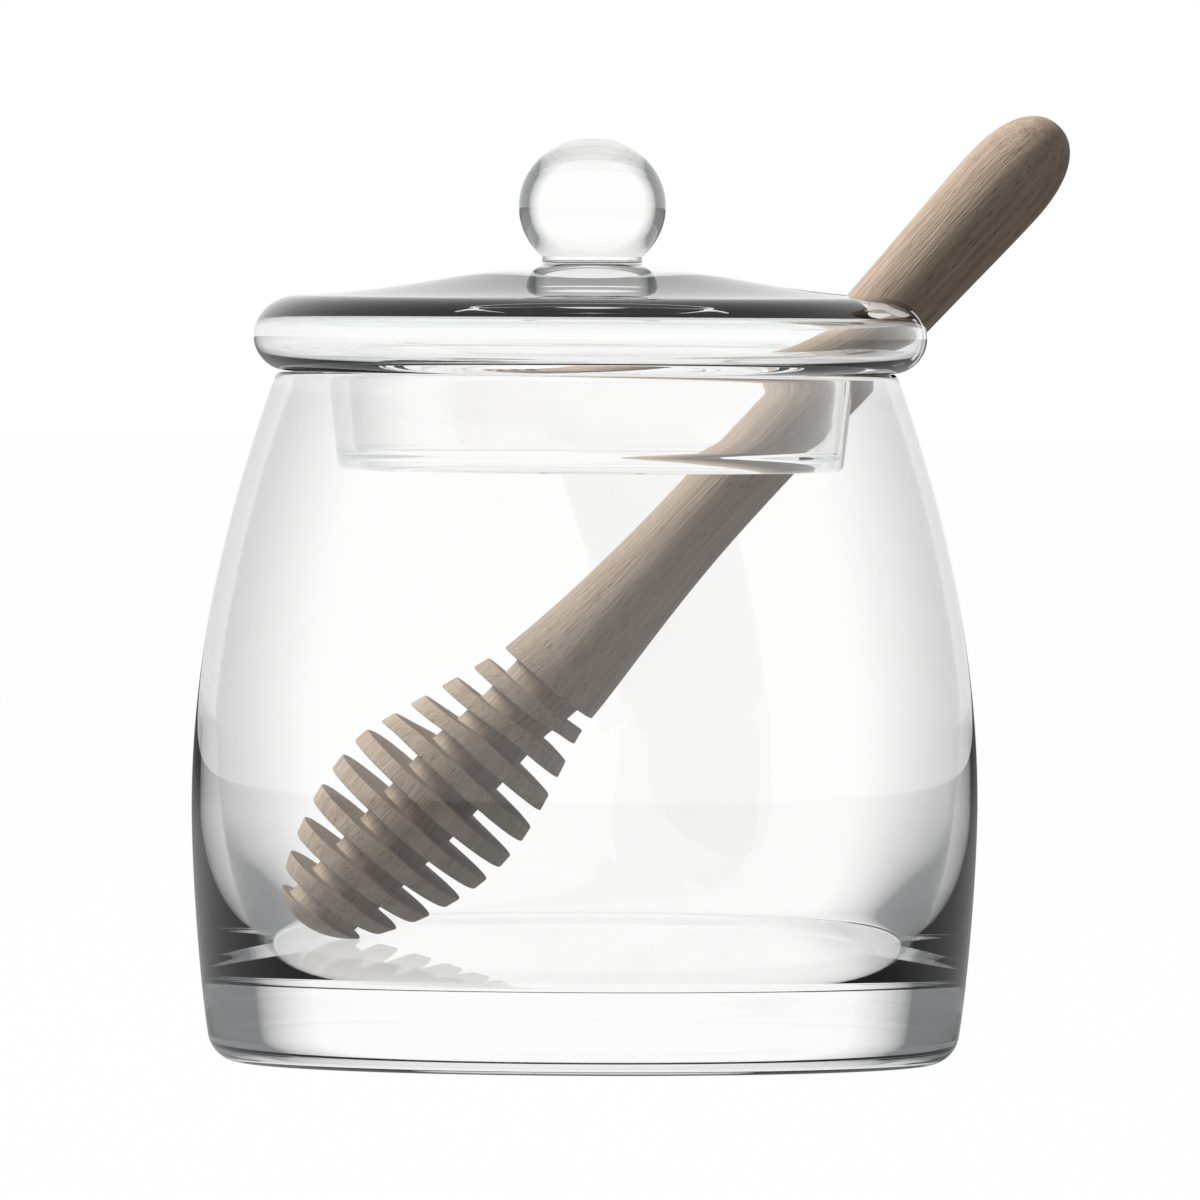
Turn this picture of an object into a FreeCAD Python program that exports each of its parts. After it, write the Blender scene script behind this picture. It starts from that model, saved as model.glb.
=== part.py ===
import FreeCAD, Part
import math
import os

# Glass honey pot with its glass lid and its turned oak dipper.
# Millimetres, +Z up.  The origin is the middle of the pot's flat base.  The
# dipper stands in the X-Z plane: its tip is at -X, its handle leaves at +X.

# ---- driving dimensions: pot ------------------------------------------------
RIM_HEIGHT = 89.0        # base plane to the top of the rim
BASE_RADIUS = 44.3       # flat ground foot
HEEL_RADIUS = 4.2        # rounded heel between foot and wall
HEEL_LEAN = 9.0          # degrees that the wall leans out above the heel
BELLY_RADIUS = 50.7      # widest outer radius
BELLY_HEIGHT = 33.5
RIM_RADIUS = 40.2        # outer radius just under the rim
SHOULDER_LEAN = 19.6     # degrees that the wall leans in under the rim
UPPER_WALL = 2.05        # wall of the upper half
MOUTH_LEAN = 21.3        # degrees that the cavity leans in under the rim
BELLY_WALL = 2.6         # wall where the cavity is widest
WIDEST_BORE_HEIGHT = 43.5
FLOOR_THICKNESS = 10.8   # heavy blown foot
FLOOR_FLAT_RADIUS = 41.4
CORNER_RADIUS = 1.2      # between the cavity's floor and wall
CORNER_LEAN = 35.0       # degrees that the cavity leans out above its floor
CAVITY_DRIFT = 0.3       # the blown cavity sits this far off axis, towards +X
LIP_RADIUS = 0.85        # polished edge of the rim

# ---- driving dimensions: lid ------------------------------------------------
LID_SHIFT = 0.6          # the loose lid lies this far off axis, towards +X
SEAT_GAP = 0.1           # lid to rim
FLANGE_OVERHANG = 3.4    # flange beyond the pot's rim
FLANGE_HEIGHT = 9.8      # underside to shoulder
ROLL_WIDTH = 6.0         # how far in the flange's rounded edge reaches
ROLL_DROP = 5.2          # shoulder to the widest line of that edge
EDGE_WALL = 1.5          # blown wall at the flange's edge
POCKET_ROUNDING = 2.3    # depth of the rounded end of the flange's hollow
TOP_WALL = 2.6           # wall of the lid's top at the shoulder
UNDER_WALL = 2.0         # wall of the flange's underside
CROWN_WALL = 5.5         # wall under the knob
DOME_HEIGHT = 14.0       # underside to the foot of the knob
SKIRT_PLAY = 4.2         # mouth to the skirt that drops into it
SKIRT_DEPTH = 12.9       # underside to the skirt's lower edge
SKIRT_TAPER = 1.1        # how much the skirt narrows to its lower edge
SKIRT_WALL = 2.4
SKIRT_FILLET = 1.3       # between skirt and flange
BEAD_HEIGHT = 2.8        # thickened lower edge of the skirt
BEAD_SWELL = 0.45
KNOB_RADIUS = 9.5
KNOB_HALF_HEIGHT = 8.85
KNOB_NECK_RADIUS = 6.45
NECK_FILLET = 0.45
SLOT_CLEARANCE = 0.6     # lid's slot to the dipper's handle

# ---- driving dimensions: dipper ---------------------------------------------
HANDLE_LENGTH = 98.0     # handle's end to the first groove
GRIP_RADIUS = 6.05       # thickest part of the handle
GRIP_STATION = 10.7      # its distance from the handle's end
WAIST_RADIUS = 5.06      # thinnest part of the handle
WAIST_STATION = 66.0
COLLAR_RADIUS = 7.55     # handle's end at the head
COLLAR_FLARE = 9.6       # degrees
DISC_COUNT = 9
DISC_THICKNESS = 2.3
GROOVE_WIDTH = 2.35
CORE_RADIUS = 5.25       # bottom of the grooves
HEAD_RADIUS = 12.65      # widest disc
TIP_RADIUS = 6.85        # foot of the rounded tip
TIP_HEIGHT = 3.0
TIP_REACH = 30.3         # middle of the tip's curve, left of the pot's axis
REST_GAP = 0.15          # dipper to the floor and to the rim

DRAFT_ROOM = 5.0         # how far cutting tools run past what they cut

# ---- how far each curve is drawn out, as a share of the stretch it spans ------
QUARTER = 0.5523         # pole distance that makes a quarter turn round
HEEL_PULL = 0.27         # wall from heel to belly
SHOULDER_PULL = 0.33     # wall from belly to rim, at the belly
RIM_PULL = 0.3465        # the same wall at the rim
CORNER_PULL = 0.15       # cavity above its floor
LOWER_BORE_PULL = 0.484  # cavity below its widest height
UPPER_BORE_PULL = 0.18   # cavity above its widest height
MOUTH_PULL = 0.37        # cavity under the rim
END_PULL = (0.63, 0.61)  # handle's rounded end: across and along
GRIP_PULL = 0.15         # handle from grip to waist, at the grip
WAIST_PULL = 0.61        # the same stretch at the waist
FLARE_PULL = (0.375, 0.25)   # handle from waist to collar: at each end
HEAD_CREST = 0.54        # where the head is widest, along its length
HEAD_SWELL = 0.38        # how fast the head widens
HEAD_FALL = (0.4, 0.79, 0.47)  # how the head narrows to its tip
DOME_PULL = (0.16, 0.45)     # lid's dome at the knob and at the shoulder
DOME_SAG = (0.15, 0.5)       # its poles: below the knob's foot, above the shoulder
BEAD_PULL = (0.3, 0.25)      # skirt's bead: across and along
BEAD_EASE = (0.2, 0.1)       # how the bead runs out above it
CEILING_PULL = (0.7, 0.3)    # lid's ceiling: outer and inner pole
CEILING_LIFT = 0.3
NECK_RUN = 0.05          # straight neck under the knob
WEB_EASE = 0.8           # how much sharper the skirt's inner bend is


def point(radius, height):
    """A point of a half outline, which lies in the X-Z plane."""
    return FreeCAD.Vector(radius, 0, height)


def line(start, end):
    return Part.LineSegment(point(*start), point(*end)).toShape()


def arc(centre, radius, start_angle, end_angle):
    """A round stretch, by its middle and two angles in degrees."""
    ends = []
    for angle in (start_angle, (start_angle + end_angle) / 2, end_angle):
        turn = math.radians(angle)
        ends.append(point(centre[0] + radius * math.cos(turn), centre[1] + radius * math.sin(turn)))
    return Part.Arc(*ends).toShape()


def on_circle(centre, radius, angle):
    turn = math.radians(angle)
    return (centre[0] + radius * math.cos(turn), centre[1] + radius * math.sin(turn))


def curve(*poles):
    """A smooth stretch from the first pole to the last."""
    bezier = Part.BezierCurve()
    bezier.setPoles([point(*pole) for pole in poles])
    return bezier.toShape()


def lean(start, angle, reach):
    """The pole that lies reach away from start, angle degrees off vertical."""
    turn = math.radians(angle)
    return (start[0] + reach * math.sin(turn), start[1] + reach * math.cos(turn))


def turned(edges):
    """The solid that a closed half outline sweeps round the Z axis."""
    face = Part.Face(Part.Wire(Part.__sortEdges__(edges)))
    solid = face.revolve(FreeCAD.Vector(0, 0, 0), FreeCAD.Vector(0, 0, 1), 360)
    if solid.Volume < 0:
        solid.reverse()
    return solid


def bezier_height(poles, station):
    """Second coordinate of a rising Bezier stretch where its first is station."""
    low, high = 0.0, 1.0
    for _ in range(50):
        middle = (low + high) / 2
        if blend(poles, middle, 0) < station:
            low = middle
        else:
            high = middle
    return blend(poles, (low + high) / 2, 1)


def blend(poles, share, axis):
    rest = 1 - share
    weights = (rest ** 3, 3 * rest ** 2 * share, 3 * rest * share ** 2, share ** 3)
    return sum(weight * pole[axis] for weight, pole in zip(weights, poles))


# ---- pot --------------------------------------------------------------------
MOUTH_RADIUS = RIM_RADIUS - UPPER_WALL
BORE_RADIUS = BELLY_RADIUS - BELLY_WALL
LIP_LEVEL = RIM_HEIGHT - LIP_RADIUS
INNER_LIP = (MOUTH_RADIUS + LIP_RADIUS, LIP_LEVEL)


def pot_body():
    """The pot's outer form, solid."""
    heel = (BASE_RADIUS, HEEL_RADIUS)
    heel_top = on_circle(heel, HEEL_RADIUS, -HEEL_LEAN)
    belly = (BELLY_RADIUS, BELLY_HEIGHT)
    lip = (RIM_RADIUS - LIP_RADIUS * math.cos(math.radians(SHOULDER_LEAN)), LIP_LEVEL)
    wall_top = on_circle(lip, LIP_RADIUS, SHOULDER_LEAN)
    lower_reach = HEEL_PULL * (BELLY_HEIGHT - HEEL_RADIUS)
    rise = RIM_HEIGHT - BELLY_HEIGHT
    return turned([
        line((0, 0), (BASE_RADIUS, 0)),
        arc(heel, HEEL_RADIUS, -90, -HEEL_LEAN),
        curve(heel_top, lean(heel_top, HEEL_LEAN, lower_reach),
              (BELLY_RADIUS, BELLY_HEIGHT - lower_reach), belly),
        curve(belly, (BELLY_RADIUS, BELLY_HEIGHT + SHOULDER_PULL * rise),
              lean(wall_top, 180 - SHOULDER_LEAN, RIM_PULL * rise), wall_top),
        arc(lip, LIP_RADIUS, SHOULDER_LEAN, 90),
        line((lip[0], RIM_HEIGHT), (0, RIM_HEIGHT)),
        line((0, RIM_HEIGHT), (0, 0))])


def pot_cavity():
    """The blown inside, with the wall that thickens into the heavy foot."""
    wall_top = on_circle(INNER_LIP, LIP_RADIUS, 180 + MOUTH_LEAN)
    bore = (BORE_RADIUS, WIDEST_BORE_HEIGHT)
    corner = (FLOOR_FLAT_RADIUS, FLOOR_THICKNESS + CORNER_RADIUS)
    foot = on_circle(corner, CORNER_RADIUS, -CORNER_LEAN)
    sweep = WIDEST_BORE_HEIGHT - FLOOR_THICKNESS
    shoulder = RIM_HEIGHT - WIDEST_BORE_HEIGHT
    sky = RIM_HEIGHT + DRAFT_ROOM
    cavity = turned([
        line((0, FLOOR_THICKNESS), (FLOOR_FLAT_RADIUS, FLOOR_THICKNESS)),
        arc(corner, CORNER_RADIUS, -90, -CORNER_LEAN),
        curve(foot, lean(foot, CORNER_LEAN, CORNER_PULL * sweep),
              (BORE_RADIUS, WIDEST_BORE_HEIGHT - LOWER_BORE_PULL * sweep), bore),
        curve(bore, (BORE_RADIUS, WIDEST_BORE_HEIGHT + UPPER_BORE_PULL * shoulder),
              lean(wall_top, 180 - MOUTH_LEAN, MOUTH_PULL * shoulder), wall_top),
        arc(INNER_LIP, LIP_RADIUS, 180 + MOUTH_LEAN, 90),
        line((INNER_LIP[0], RIM_HEIGHT), (INNER_LIP[0], sky)),
        line((INNER_LIP[0], sky), (0, sky)),
        line((0, sky), (0, FLOOR_THICKNESS))])
    cavity.translate(FreeCAD.Vector(CAVITY_DRIFT, 0, 0))
    return cavity


def make_pot():
    return pot_body().cut(pot_cavity())


# ---- dipper -----------------------------------------------------------------
PITCH = DISC_THICKNESS + GROOVE_WIDTH
HEAD_LENGTH = DISC_COUNT * PITCH + GROOVE_WIDTH      # collar to the tip's foot
DIPPER_LENGTH = HANDLE_LENGTH + HEAD_LENGTH + TIP_HEIGHT
TIP_CURVE = (TIP_RADIUS ** 2 + TIP_HEIGHT ** 2) / (2 * TIP_HEIGHT)
CREST_STATION = HEAD_CREST * HEAD_LENGTH

GRIP_RUN = WAIST_STATION - GRIP_STATION
SHAFT = [(GRIP_STATION, GRIP_RADIUS), (GRIP_STATION + GRIP_PULL * GRIP_RUN, GRIP_RADIUS),
         (WAIST_STATION - WAIST_PULL * GRIP_RUN, WAIST_RADIUS), (WAIST_STATION, WAIST_RADIUS)]
HEAD_TAIL = HEAD_LENGTH - CREST_STATION
RISING_HEAD = [(0, COLLAR_RADIUS),
               (CREST_STATION / 3, COLLAR_RADIUS + HEAD_SWELL * (HEAD_RADIUS - COLLAR_RADIUS)),
               (CREST_STATION * 2 / 3, HEAD_RADIUS), (CREST_STATION, HEAD_RADIUS)]
FALLING_HEAD = [(CREST_STATION, HEAD_RADIUS), (CREST_STATION + HEAD_FALL[0] * HEAD_TAIL, HEAD_RADIUS),
                (CREST_STATION + HEAD_FALL[1] * HEAD_TAIL,
                 TIP_RADIUS + HEAD_FALL[2] * (HEAD_RADIUS - TIP_RADIUS)),
                (HEAD_LENGTH, TIP_RADIUS)]


def head_radius(station):
    """Radius of the head's outline at a distance from the collar."""
    if station < CREST_STATION:
        return bezier_height(RISING_HEAD, station)
    return bezier_height(FALLING_HEAD, station)


def dipper_outline():
    """Half outline along the dipper: (radius, distance from the handle's end)."""
    swap = [(radius, station) for station, radius in SHAFT]
    collar = (COLLAR_RADIUS, HANDLE_LENGTH)
    flare = HANDLE_LENGTH - WAIST_STATION
    edges = [
        curve((0, 0), (END_PULL[0] * GRIP_RADIUS, 0), (GRIP_RADIUS, (1 - END_PULL[1]) * GRIP_STATION),
              (GRIP_RADIUS, GRIP_STATION)),
        curve(*swap),
        curve((WAIST_RADIUS, WAIST_STATION), (WAIST_RADIUS, WAIST_STATION + FLARE_PULL[0] * flare),
              lean(collar, 180 + COLLAR_FLARE, FLARE_PULL[1] * flare), collar)]
    corner = collar
    for disc in range(DISC_COUNT):
        top = disc * PITCH + GROOVE_WIDTH
        foot = top + DISC_THICKNESS
        rim = [(CORE_RADIUS, corner[1]), (CORE_RADIUS, HANDLE_LENGTH + top),
               (head_radius(top), HANDLE_LENGTH + top), (head_radius(foot), HANDLE_LENGTH + foot)]
        for stop in rim:
            edges.append(line(corner, stop))
            corner = stop
    tip_foot = HANDLE_LENGTH + HEAD_LENGTH
    for stop in [(CORE_RADIUS, corner[1]), (CORE_RADIUS, tip_foot), (TIP_RADIUS, tip_foot)]:
        edges.append(line(corner, stop))
        corner = stop
    middle = (0, DIPPER_LENGTH - TIP_CURVE)
    start = math.degrees(math.acos(TIP_RADIUS / TIP_CURVE))
    edges.append(arc(middle, TIP_CURVE, start, 90))
    edges.append(line((0, DIPPER_LENGTH), (0, 0)))
    return edges


def dipper_lean():
    """Tip on the floor, handle on the rim: the tip's middle and the tilt in degrees."""
    tip = (-TIP_REACH, FLOOR_THICKNESS + TIP_CURVE + REST_GAP)
    lip = (INNER_LIP[0] + CAVITY_DRIFT, INNER_LIP[1])
    across, up = lip[0] - tip[0], lip[1] - tip[1]
    span = math.hypot(across, up)
    radius = GRIP_RADIUS
    for _ in range(8):
        offset = radius + LIP_RADIUS + REST_GAP
        station = DIPPER_LENGTH - TIP_CURVE - math.sqrt(span ** 2 - offset ** 2)
        radius = bezier_height(SHAFT, station)
    return tip, math.degrees(math.atan2(up, across) + math.asin(offset / span))


def make_dipper():
    dipper = turned(dipper_outline())
    tip, tilt = dipper_lean()
    dipper.translate(FreeCAD.Vector(0, 0, TIP_CURVE - DIPPER_LENGTH))
    dipper.rotate(FreeCAD.Vector(0, 0, 0), FreeCAD.Vector(0, 1, 0), 270 - tilt)
    dipper.translate(FreeCAD.Vector(tip[0], 0, tip[1]))
    return dipper


# ---- lid --------------------------------------------------------------------
LID_LEVEL = RIM_HEIGHT + SEAT_GAP                    # underside of the flange
FLANGE_RADIUS = RIM_RADIUS + FLANGE_OVERHANG
SHOULDER_RADIUS = FLANGE_RADIUS - ROLL_WIDTH
EDGE_LEVEL = FLANGE_HEIGHT - ROLL_DROP
SKIRT_RADIUS = MOUTH_RADIUS - SKIRT_PLAY
KNOB_LEVEL = DOME_HEIGHT + NECK_FILLET + KNOB_HALF_HEIGHT * (
    NECK_RUN + math.sqrt(1 - (KNOB_NECK_RADIUS / KNOB_RADIUS) ** 2))


def knob_edges():
    """The knob's rounded half outline, from its top down to its neck."""
    neck = math.asin(KNOB_NECK_RADIUS / KNOB_RADIUS)
    top = (0, KNOB_LEVEL + KNOB_HALF_HEIGHT)
    side = (KNOB_RADIUS, KNOB_LEVEL)
    foot_level = KNOB_LEVEL - KNOB_HALF_HEIGHT * math.cos(neck)
    sweep = 4 / 3 * math.tan((math.pi / 2 - neck) / 4)
    foot = (KNOB_NECK_RADIUS, foot_level)
    foot_pole = (KNOB_NECK_RADIUS + sweep * KNOB_RADIUS * math.cos(neck),
                 foot_level + sweep * KNOB_HALF_HEIGHT * math.sin(neck))
    fillet = (KNOB_NECK_RADIUS + NECK_FILLET, DOME_HEIGHT + NECK_FILLET)
    return [
        curve(top, (QUARTER * KNOB_RADIUS, top[1]),
              (KNOB_RADIUS, KNOB_LEVEL + QUARTER * KNOB_HALF_HEIGHT), side),
        curve(side, (KNOB_RADIUS, KNOB_LEVEL - sweep * KNOB_HALF_HEIGHT), foot_pole, foot),
        line(foot, (KNOB_NECK_RADIUS, fillet[1])),
        arc(fillet, NECK_FILLET, 180, 270)]


def lid_outer_edges():
    """Dome, rounded flange, flat underside and the skirt's outside."""
    dome_foot = (KNOB_NECK_RADIUS + NECK_FILLET, DOME_HEIGHT)
    shoulder = (SHOULDER_RADIUS, FLANGE_HEIGHT)
    edge = (FLANGE_RADIUS, EDGE_LEVEL)
    run = SHOULDER_RADIUS - dome_foot[0]
    fillet = (SKIRT_RADIUS + SKIRT_FILLET, -SKIRT_FILLET)
    underside = (FLANGE_RADIUS - EDGE_LEVEL, 0)
    skirt_foot = (SKIRT_RADIUS - SKIRT_TAPER, SKIRT_WALL / 2 - SKIRT_DEPTH)
    return [
        curve(dome_foot, (dome_foot[0] + DOME_PULL[0] * run, DOME_HEIGHT - DOME_SAG[0]),
              (SHOULDER_RADIUS - DOME_PULL[1] * run, FLANGE_HEIGHT + DOME_SAG[1]), shoulder),
        curve(shoulder, (SHOULDER_RADIUS + QUARTER * ROLL_WIDTH, FLANGE_HEIGHT),
              (FLANGE_RADIUS, EDGE_LEVEL + QUARTER * ROLL_DROP), edge),
        curve(edge, (FLANGE_RADIUS, (1 - QUARTER) * EDGE_LEVEL),
              (FLANGE_RADIUS - (1 - QUARTER) * EDGE_LEVEL, 0), underside),
        line(underside, (fillet[0], 0)),
        arc(fillet, SKIRT_FILLET, 90, 180),
        line((SKIRT_RADIUS, fillet[1]), skirt_foot),
        arc((skirt_foot[0] - SKIRT_WALL / 2, skirt_foot[1]), SKIRT_WALL / 2, 0, -90)]


def lid_inner_edges():
    """The skirt's bead and inside, the hollow flange and the ceiling."""
    foot_radius = SKIRT_RADIUS - SKIRT_TAPER - SKIRT_WALL
    bead = (foot_radius - BEAD_SWELL, SKIRT_WALL / 2 - SKIRT_DEPTH)
    bead_top = (foot_radius + BEAD_EASE[0], BEAD_HEIGHT - SKIRT_DEPTH)
    turn = UNDER_WALL + SKIRT_FILLET - WEB_EASE
    skirt_top = (SKIRT_RADIUS - SKIRT_WALL, UNDER_WALL - turn)
    pocket_edge = (FLANGE_RADIUS - EDGE_WALL, EDGE_LEVEL)
    pocket_foot = (pocket_edge[0] - POCKET_ROUNDING, UNDER_WALL)
    ceiling = (pocket_foot[0], FLANGE_HEIGHT - TOP_WALL)
    crown = (0, DOME_HEIGHT - CROWN_WALL)
    bottom = (SKIRT_RADIUS - SKIRT_TAPER - SKIRT_WALL / 2, -SKIRT_DEPTH)
    return [
        curve(bottom, (bead[0] + BEAD_PULL[0] * SKIRT_WALL, bottom[1]),
              (bead[0], bead[1] - BEAD_PULL[1] * SKIRT_WALL), bead),
        curve(bead, (bead[0], bead[1] + BEAD_PULL[0] * BEAD_HEIGHT),
              (bead_top[0] - BEAD_EASE[1], bead_top[1] - BEAD_EASE[0] * BEAD_HEIGHT), bead_top),
        line(bead_top, skirt_top),
        arc((skirt_top[0] + turn, skirt_top[1]), turn, 180, 90),
        line((skirt_top[0] + turn, UNDER_WALL), pocket_foot),
        curve(pocket_foot, (pocket_foot[0] + QUARTER * POCKET_ROUNDING, UNDER_WALL),
              (pocket_edge[0], EDGE_LEVEL - QUARTER * (EDGE_LEVEL - UNDER_WALL)), pocket_edge),
        curve(pocket_edge, (pocket_edge[0], EDGE_LEVEL + QUARTER * (ceiling[1] - EDGE_LEVEL)),
              (ceiling[0] + QUARTER * POCKET_ROUNDING, ceiling[1]), ceiling),
        curve(ceiling, (CEILING_PULL[0] * SHOULDER_RADIUS, ceiling[1] + CEILING_LIFT),
              (CEILING_PULL[1] * SHOULDER_RADIUS, crown[1]), crown),
        line(crown, (0, KNOB_LEVEL + KNOB_HALF_HEIGHT))]


def slot_tool():
    """U-shaped slot that lets the lid drop over the leaning handle."""
    tip, tilt = dipper_lean()
    turn = math.radians(tilt)
    along = (LID_LEVEL - tip[1]) / math.sin(turn)
    middle = tip[0] + along * math.cos(turn) - LID_SHIFT
    half_width = bezier_height(SHAFT, DIPPER_LENGTH - TIP_CURVE - along) + SLOT_CLEARANCE
    floor = -SKIRT_DEPTH - DRAFT_ROOM
    height = FLANGE_HEIGHT + DRAFT_ROOM - floor
    channel = Part.makeBox(FLANGE_RADIUS + DRAFT_ROOM - middle, 2 * half_width, height,
                           FreeCAD.Vector(middle, -half_width, floor))
    bend = Part.makeCylinder(half_width, height, FreeCAD.Vector(middle, 0, floor))
    return channel.fuse(bend).removeSplitter()


def make_lid():
    lid = turned(knob_edges() + lid_outer_edges() + lid_inner_edges())
    lid = lid.cut(slot_tool())
    lid.translate(FreeCAD.Vector(LID_SHIFT, 0, LID_LEVEL))
    return lid


def main():
    os.makedirs("parts", exist_ok=True)
    for name, make in (("pot", make_pot), ("lid", make_lid), ("dipper", make_dipper)):
        shape = make()
        print(name, "solids", len(shape.Solids), "valid", shape.isValid(),
              "volume cm3", round(shape.Volume / 1000, 2), "box", shape.BoundBox)
        shape.exportStep("parts/" + name + ".step")


main()
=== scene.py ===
"""A glass honey pot with its loose glass lid and its turned oak dipper, on a pale studio floor."""
import math

import bmesh
import bpy
from bpy.props import FloatProperty, FloatVectorProperty, IntProperty, PointerProperty
from mathutils import Matrix, Vector


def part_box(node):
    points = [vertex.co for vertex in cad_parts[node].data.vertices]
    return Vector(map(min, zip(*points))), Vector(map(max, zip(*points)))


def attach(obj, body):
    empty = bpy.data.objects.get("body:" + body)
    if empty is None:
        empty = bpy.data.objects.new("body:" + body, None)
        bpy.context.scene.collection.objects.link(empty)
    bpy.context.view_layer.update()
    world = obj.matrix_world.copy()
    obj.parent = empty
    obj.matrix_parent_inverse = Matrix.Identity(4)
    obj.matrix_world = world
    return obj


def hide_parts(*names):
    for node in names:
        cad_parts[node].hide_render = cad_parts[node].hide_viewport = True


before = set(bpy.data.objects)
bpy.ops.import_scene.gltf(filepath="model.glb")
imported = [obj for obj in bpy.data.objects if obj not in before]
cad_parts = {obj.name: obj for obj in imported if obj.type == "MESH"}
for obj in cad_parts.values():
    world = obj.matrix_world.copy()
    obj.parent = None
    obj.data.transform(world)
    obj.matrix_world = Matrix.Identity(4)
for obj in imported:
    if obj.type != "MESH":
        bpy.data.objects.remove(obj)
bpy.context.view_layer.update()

bl_info = {
    "name": "Glass honey pot",
    "version": (1, 0, 0),
    "blender": (4, 5, 0),
    "location": "View3D > Sidebar > Honey pot",
    "description": "Builds a glass honey pot, its lid and its oak dipper around the packed solids",
    "category": "Add Mesh",
}

MM = 0.001
POT_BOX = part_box("pot")
LID_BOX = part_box("lid")

# ---- how far each curve is drawn out, as a share of the stretch it spans --------
QUARTER = 0.5523             # pole distance that makes a quarter turn round
HEEL_PULL = 0.27             # wall from heel to belly
SHOULDER_PULL = 0.33         # wall from belly to rim, at the belly
RIM_DRAW = 1.05              # the same wall at the rim, as a share of its pull at the belly
CORNER_PULL = 0.15           # cavity above its floor
LOWER_BORE_PULL = 0.484      # cavity below its widest height
UPPER_BORE_PULL = 0.18       # cavity above its widest height
MOUTH_PULL = 0.37            # cavity under the rim
END_PULL = (0.63, 0.39)      # handle's rounded end: across, and along from its end
GRIP_PULL = 0.15             # handle from grip to waist, at the grip
WAIST_PULL = 0.61            # the same stretch at the waist
FLARE_PULL = (0.375, 0.25)   # handle from waist to collar: at each end
HEAD_CREST = 0.54            # where the head is widest, along its length
HEAD_SWELL = 0.38            # how fast the head widens
HEAD_FALL = (0.4, 0.79, 0.47)    # how the head narrows to its tip
DOME_PULL = (0.16, 0.45)     # lid's dome at the knob and at the shoulder
BEAD_PULL = (0.3, 0.25)      # skirt's bead: across and along
BEAD_RUN = (0.3, 0.2)        # the same above the bead
CEILING_PULL = (0.7, 0.3)    # lid's ceiling: outer and inner pole
NECK_RUN = 0.05              # straight neck under the knob
DOME_SAG = (0.15 * MM, 0.5 * MM)     # dome's poles: below the knob's foot, above the shoulder
BEAD_EASE = (0.2 * MM, 0.1 * MM)     # how the bead runs out above it
CEILING_LIFT = 0.3 * MM
WEB_EASE = 0.8 * MM          # how much sharper the skirt's inner bend is
COLLAR_RUN = (0.5 * MM, 3 * MM)      # line that leads into the head: inwards, and back
TIP_EDGE = (0.9, 0.62 * MM)  # tip's worn edge: share of its radius, and height
TIP_BEGIN = 4                # degrees into the tip's curve where that edge ends
CORNER_SHARE = 2.5           # a line is at least this many times as long as its worn corner
SLOT_EXCESS = 1.5            # how far the slot's cutter passes the lid, in heights of each side

# ---- how finely the turned pieces are divided and shaded ------------------------
ROUND_STEPS = 224            # glass, round its axis
DIPPER_STEPS = 128
SLOT_STEPS = 32              # round end of the lid's slot
POT_SHARP = 40               # degrees past which an edge is shaded as sharp
DIPPER_SHARP = 50
LID_SHARP = 30
ALL_SMOOTH = 180
CORNER_STEPS = 4             # a worn corner
FLOOR_STEPS = 64
MERGE_DISTANCE = 1e-7
HALVINGS = 50                # steps that find a place on a curve
REST_PASSES = 8              # steps that find where the handle meets the rim


# ---- properties ---------------------------------------------------------------
def length(name, text, millimetres):
    return FloatProperty(name=name, description=text, default=millimetres * MM,
                         precision=5, subtype="DISTANCE", unit="LENGTH")


def angle(name, text, degrees):
    return FloatProperty(name=name, description=text, default=math.radians(degrees),
                         subtype="ANGLE", unit="ROTATION")


def colour(name, text, value):
    return FloatVectorProperty(name=name, description=text, default=value, size=3,
                               min=0, max=1, subtype="COLOR")


class PotSizes(bpy.types.PropertyGroup):
    rim_height: length("Rim height", "Base plane to the top of the rim", POT_BOX[1].z / MM)
    base_radius: length("Base radius", "Radius of the flat ground foot", 44.3)
    heel_radius: length("Heel radius", "Rounding between foot and wall", 4.2)
    heel_lean: angle("Heel lean", "How far the wall leans out above the heel", 9.0)
    belly_radius: length("Belly radius", "Widest outer radius", POT_BOX[1].x / MM)
    belly_height: length("Belly height", "Height of the widest radius", 33.5)
    rim_radius: length("Rim radius", "Outer radius just under the rim", 40.2)
    shoulder_lean: angle("Shoulder lean", "How far the wall leans in under the rim", 19.6)
    upper_wall: length("Upper wall", "Wall of the upper half", 2.05)
    mouth_lean: angle("Mouth lean", "How far the cavity leans in under the rim", 21.3)
    belly_wall: length("Belly wall", "Wall where the cavity is widest", 2.6)
    bore_height: length("Bore height", "Height where the cavity is widest", 43.5)
    floor_thickness: length("Floor thickness", "Glass under the cavity", 10.8)
    floor_flat: length("Floor flat", "Radius of the cavity's flat floor", 41.4)
    corner_radius: length("Corner radius", "Rounding between the cavity's floor and wall", 1.2)
    corner_lean: angle("Corner lean", "How far the cavity's wall leans out above the floor", 35.0)
    cavity_drift: length("Cavity drift", "How far the blown cavity sits off axis", 0.3)
    lip_radius: length("Lip radius", "Polished edge of the rim", 0.85)


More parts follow.
